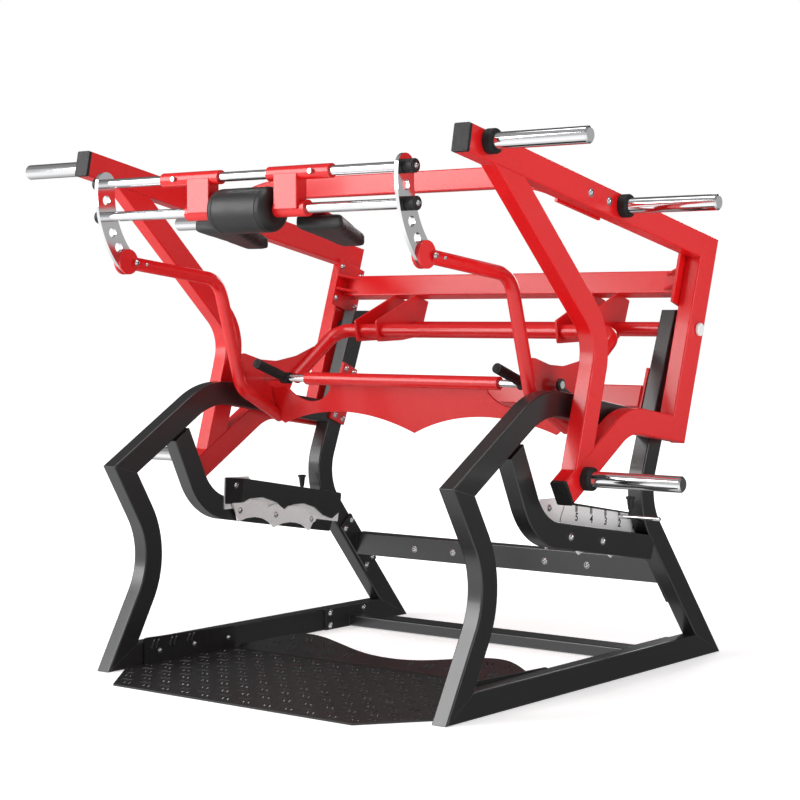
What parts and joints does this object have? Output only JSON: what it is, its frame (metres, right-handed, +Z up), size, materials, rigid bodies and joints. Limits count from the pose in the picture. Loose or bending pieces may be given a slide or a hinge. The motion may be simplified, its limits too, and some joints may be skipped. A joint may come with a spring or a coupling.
{
  "type": "hack squat machine",
  "caption": "Plate-loaded squat machine: black tubular base, red swinging lever with shoulder pads, weight horns, turning handles and notched catch pins.",
  "frame": {"origin": "on the floor under the middle of the whole machine's box", "axes": "+X to the right across the machine along the weight horns, +Y to the rear (the user stands at -Y, the lever's pivot is at +Y), +Z up"},
  "size_m": [2.29, 1.766, 1.728],
  "materials": {
    "black_frame": "satin powder coat",
    "red_frame": "semi-gloss powder coat",
    "bright_steel": "zinc plated",
    "bolt_steel": "zinc plated",
    "tread_plate": "black textured powder coat on tread plate",
    "chrome": "polished",
    "black_rubber": "matte",
    "black_plastic": "fine grain",
    "black_leather": "grained upholstery vinyl"
  },
  "bodies": {
    "base": {"right_front_leg": "black_frame", "left_front_leg": "black_frame", "right_top_rail": "black_frame", "left_top_rail": "black_frame", "right_rear_upright": "black_frame", "left_rear_upright": "black_frame", "right_bottom_rail": "black_frame", "left_bottom_rail": "black_frame", "right_inner_brace": "black_frame", "left_inner_brace": "black_frame", "notch_plates": "bright_steel", "cover_plates": "black_frame", "guard_plates": "bright_steel", "bumpers": "black_rubber", "mid_cross_member": "black_frame", "floor_cross_member": "black_frame", "red_cross_member": "red_frame", "footplate": "tread_plate", "kick_plates": "tread_plate", "pivot_pins": "bright_steel", "latch_studs": "bright_steel", "frame_bolts": "bolt_steel"},
    "lever": {"right_top_beam": "red_frame", "left_top_beam": "red_frame", "right_rear_post": "red_frame", "left_rear_post": "red_frame", "right_lower_beam": "red_frame", "left_lower_beam": "red_frame", "right_front_strut": "red_frame", "left_front_strut": "red_frame", "beam_end_caps": "black_plastic", "weight_horns": "chrome", "horn_collars": "black_rubber", "front_cross_beam": "red_frame", "rear_cross_beam": "red_frame", "pivot_tube": "red_frame", "pivot_bearings": "black_rubber", "u_tube": "red_frame", "pivot_fins": "red_frame", "curved_brackets": "chrome", "apron_plate": "red_frame", "handle_tube": "red_frame", "right_arm": "red_frame", "left_arm": "red_frame", "side_plates": "red_frame", "chrome_bars": "chrome", "bar_end_knobs": "black_plastic", "pad_carriers": "red_frame", "carrier_pins": "bolt_steel", "right_shoulder_pad": "black_leather", "left_shoulder_pad": "black_leather", "lever_bolts": "bolt_steel"},
    "handle": {"handle_shaft": "chrome", "handle_grips": "black_rubber", "latch_hooks": "black_frame"},
    "right_catch": {"right_catch_pin": "chrome", "right_catch_handle": "black_plastic"},
    "left_catch": {"left_catch_pin": "chrome", "left_catch_handle": "black_plastic"},
    "roller": {"roller_pad": "black_leather"}
  },
  "joints": [
    {"name": "lever_pivot", "type": "hinge", "parent": "base", "child": "lever", "pos_m": [0, 0.572, 1.137], "axis": [1, 0, 0], "range_deg": [-14, 27]},
    {"name": "handle_turn", "type": "hinge", "parent": "lever", "child": "handle", "pos_m": [0, -0.025, 0.964], "axis": [1, 0, 0], "range_deg": [-40, 0]},
    {"name": "right_catch_lift", "type": "slide", "parent": "base", "child": "right_catch", "axis": [0, 0, 1], "range_m": [0, 0.03]},
    {"name": "left_catch_lift", "type": "slide", "parent": "base", "child": "left_catch", "axis": [0, 0, 1], "range_m": [0, 0.03]},
    {"name": "roller_spin", "type": "hinge", "parent": "lever", "child": "roller", "pos_m": [0, -0.78129, 1.50316], "axis": [1, 0, 0], "continuous": true}
  ]
}
